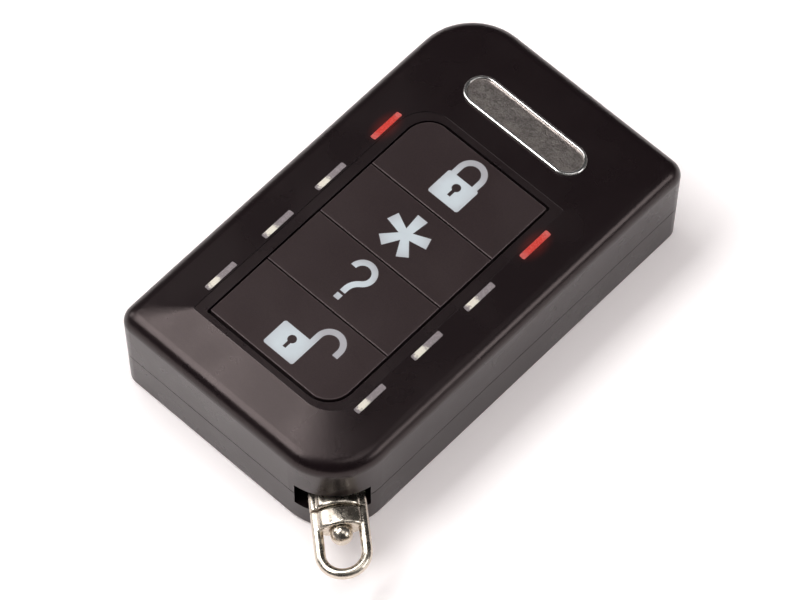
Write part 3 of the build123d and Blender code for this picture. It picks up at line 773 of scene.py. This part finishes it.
def cast_together(piece, sizes):
    """Merges a piece's parts into one skin with small hollows where they meet."""
    apply_modifier(piece, "REMESH", mode="VOXEL", voxel_size=sizes.voxel, use_smooth_shade=True)
    apply_modifier(piece, "SMOOTH", factor=0.5, iterations=sizes.merge_steps)


def make_inner_bow(sizes):
    """Bow round the post, with the longer barrel at the split."""
    face = sizes.split_reach - sizes.split_gap / 2
    piece = round_wire("link_inner_bow", sizes, face, 0.0)
    saddle_length = sizes.saddle_length + sizes.inner_saddle_extra
    combine(piece, barrel("inner_saddle", sizes, face - saddle_length, face), "UNION")
    cast_together(piece, sizes)
    return piece


def make_outer_bow(sizes):
    """Bow with the eye, and a barrel that is hollowed for the rivet's ball."""
    face = sizes.split_reach + sizes.split_gap / 2
    saddle_end = face + sizes.saddle_length
    piece = round_wire("link_outer_bow", sizes, face, sizes.split_reach + sizes.eye_reach)
    combine(piece, barrel("outer_saddle", sizes, face, saddle_end), "UNION")
    hollow_radius = sizes.ball_radius + sizes.ball_clearance + sizes.voxel
    combine(piece, ball("ball_hollow", saddle_end + sizes.ball_stand, hollow_radius), "DIFFERENCE")
    cast_together(piece, sizes)
    return piece


def rest_of_link():
    """Matrix from the link's own axes to the part's, at rest."""
    post = Vector(joints["link_swing"]["pos_m"])
    along = Vector(joints["eye_swivel"]["axis"]).normalized()
    up = Vector((0.0, 0.0, 1.0))
    turned = Matrix((along, up.cross(along), up)).transposed().to_4x4()
    return Matrix.Translation(post) @ turned


# Studio

def add_floor(stage, colours):
    """A wide pale floor just under the part, and a round backdrop far behind it."""
    deselect()
    bpy.ops.mesh.primitive_plane_add(size=stage.floor_size, location=(0.0, 0.0, -FLOOR_DROP))
    floor = take_primitive("floor")
    deselect()
    bpy.ops.mesh.primitive_cylinder_add(vertices=BACKDROP_FACETS, radius=stage.backdrop_radius,
                                        depth=stage.backdrop_height, end_fill_type="NOTHING",
                                        location=(0.0, 0.0, stage.backdrop_height / 2))
    backdrop = take_primitive("backdrop")
    for piece, lift in ((floor, stage.floor_lift), (backdrop, stage.backdrop_lift)):
        piece.data.materials.append(paper_material(f"Studio {piece.name}", colours, lift))


def add_surroundings(scene, stage):
    """Even light from all round."""
    world = bpy.data.worlds.new("surroundings")
    scene.world = world
    world.use_nodes = True
    set_shader(world.node_tree.nodes["Background"], Strength=stage.sky_light, Color=(1.0, 1.0, 1.0, 1.0))


def add_softbox(scene, box):
    """A rectangular lamp that faces the part, rolled about its own axis."""
    lamp = bpy.data.lights.new(box.name, "AREA")
    lamp.shape = "RECTANGLE"
    lamp.size = box.width
    lamp.size_y = box.height
    lamp.energy = box.power
    light = bpy.data.objects.new(box.name, lamp)
    light.location = box.place
    facing = (-Vector(box.place)).to_track_quat("-Z", "Y")
    light.rotation_euler = (facing @ Quaternion((0.0, 0.0, 1.0), math.radians(box.roll))).to_euler()
    scene.collection.objects.link(light)
    return light


def add_camera(scene, stage):
    """The camera that took the photo's view."""
    lens = bpy.data.cameras.new("camera")
    lens.lens = stage.camera_lens
    lens.sensor_width = SENSOR_WIDTH
    lens.clip_end = CAMERA_FAR
    camera = bpy.data.objects.new("camera", lens)
    camera.location = stage.camera_place
    camera.rotation_euler = Euler(stage.camera_turn, "XYZ")
    scene.collection.objects.link(camera)
    scene.camera = camera


# Operators

class KEYFOB_OT_housing(bpy.types.Operator):
    """Gives the two shells their satin plastic"""

    bl_idname = "keyfob.housing"
    bl_label = "Housing"

    def execute(self, context):
        scene = context.scene
        dress(("top_shell", "bottom_shell"), housing_material(scene.fob_colours, scene.fob_finish))
        return {"FINISHED"}


class KEYFOB_OT_keys(bpy.types.Operator):
    """Gives the four keys and their legends their plastics"""

    bl_idname = "keyfob.keys"
    bl_label = "Keys and legends"

    def execute(self, context):
        colours, finish = context.scene.fob_colours, context.scene.fob_finish
        # Keys get a wider painted highlight on their edges, at full strength
        plastic = moulded("Key plastic", colours.key, finish.key_roughness, finish.plastic_specular,
                          edge=2 * finish.edge_width, edge_highlight=1.0)
        dress([f"key_{name}" for name in KEY_NAMES], plastic)
        for name in KEY_NAMES:
            dress([f"legend_{name}"], legend_material(name, colours))
        return {"FINISHED"}


class KEYFOB_OT_windows(bpy.types.Operator):
    """Gives the eight indicator windows their clear plastic, the pair by the badge lit"""

    bl_idname = "keyfob.windows"
    bl_label = "Indicator windows"

    def execute(self, context):
        colours, finish = context.scene.fob_colours, context.scene.fob_finish
        for name in WINDOW_NAMES:
            dress([f"window_{name}"], window_material(name, colours, finish))
        return {"FINISHED"}


class KEYFOB_OT_badge(bpy.types.Operator):
    """Gives the bare badge its plating"""

    bl_idname = "keyfob.badge"
    bl_label = "Badge"

    def execute(self, context):
        dress(["badge"], badge_material(context.scene.fob_colours))
        return {"FINISHED"}


class KEYFOB_OT_link(bpy.types.Operator):
    """Models the two cast bows of the key-ring link and plates them and their rivet"""

    bl_idname = "keyfob.link"
    bl_label = "Key-ring link"

    def execute(self, context):
        scene = context.scene
        sizes = scene.fob_link
        nickel = plated("Link nickel", scene.fob_colours.nickel, scene.fob_finish.nickel_roughness,
                        spread=LINK_ROUGHNESS_SPREAD, ripple=LINK_RIPPLE)
        rest = rest_of_link()
        roll = Matrix.Rotation(EYE_ROLL, 4, "X")
        for piece, body, node, matrix in (
                (make_inner_bow(sizes), "link", "inner_bow", rest),
                (make_outer_bow(sizes), "ring_eye", "outer_bow", rest @ roll)):
            place_mesh(piece, matrix)
            piece.data.materials.clear()
            piece.data.materials.append(nickel)
            choose(piece)
            bpy.ops.object.shade_smooth()
            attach(piece, body)
            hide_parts(node)
        dress(["swivel_rivet"], nickel)
        return {"FINISHED"}


class KEYFOB_OT_inside(bpy.types.Operator):
    """Gives the screws and everything inside the shells their finishes"""

    bl_idname = "keyfob.inside"
    bl_label = "Screws and inside"

    def execute(self, context):
        for item in INSIDE_METALS:
            dress(item.nodes, plated(item.material, item.colour, item.roughness, item.scale))
        for item in INSIDE_PLASTICS:
            dress(item.nodes, moulded(item.material, item.colour, item.roughness, scale=item.scale))
        dress(["circuit_board"], board_material())
        return {"FINISHED"}


class KEYFOB_OT_stage(bpy.types.Operator):
    """Adds the floor, the surroundings, the lamps and the camera"""

    bl_idname = "keyfob.stage"
    bl_label = "Studio"

    def execute(self, context):
        scene = context.scene
        stage = scene.fob_stage
        add_floor(stage, scene.fob_colours)
        add_surroundings(scene, stage)
        for box in SOFTBOXES:
            add_softbox(scene, box)
        fill = Softbox("fill_overhead", FILL_PLACE, FILL_SIDE, FILL_SIDE, roll=0.0, power=stage.fill_light)
        add_softbox(scene, fill).visible_glossy = False
        add_camera(scene, stage)
        scene.view_settings.view_transform = "Standard"
        return {"FINISHED"}


STEPS = (KEYFOB_OT_housing, KEYFOB_OT_keys, KEYFOB_OT_windows, KEYFOB_OT_badge, KEYFOB_OT_link,
         KEYFOB_OT_inside, KEYFOB_OT_stage)
GROUPS = {"fob_link": FobLinkSizes, "fob_colours": FobColours, "fob_finish": FobFinish, "fob_stage": FobStage}


class KEYFOB_PT_panel(bpy.types.Panel):
    """Lists the steps and their values in the sidebar"""

    bl_idname = "KEYFOB_PT_panel"
    bl_label = "Alarm key fob"
    bl_space_type = "VIEW_3D"
    bl_region_type = "UI"
    bl_category = "Key Fob"

    def draw(self, context):
        for operator in STEPS:
            self.layout.operator(operator.bl_idname)
        for name in GROUPS:
            values = getattr(context.scene, name)
            box = self.layout.box()
            box.label(text=values.bl_rna.description)
            for key in values.__annotations__:
                box.prop(values, key)


def register():
    for made in (*GROUPS.values(), *STEPS, KEYFOB_PT_panel):
        bpy.utils.register_class(made)
    for name, made in GROUPS.items():
        setattr(bpy.types.Scene, name, PointerProperty(type=made))


def unregister():
    for name in GROUPS:
        delattr(bpy.types.Scene, name)
    for made in reversed((*GROUPS.values(), *STEPS, KEYFOB_PT_panel)):
        bpy.utils.unregister_class(made)


def main():
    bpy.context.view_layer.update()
    register()
    bpy.ops.keyfob.housing()
    bpy.ops.keyfob.keys()
    bpy.ops.keyfob.windows()
    bpy.ops.keyfob.badge()
    bpy.ops.keyfob.link()
    bpy.ops.keyfob.inside()
    bpy.ops.keyfob.stage()


if __name__ == "__main__":
    main()
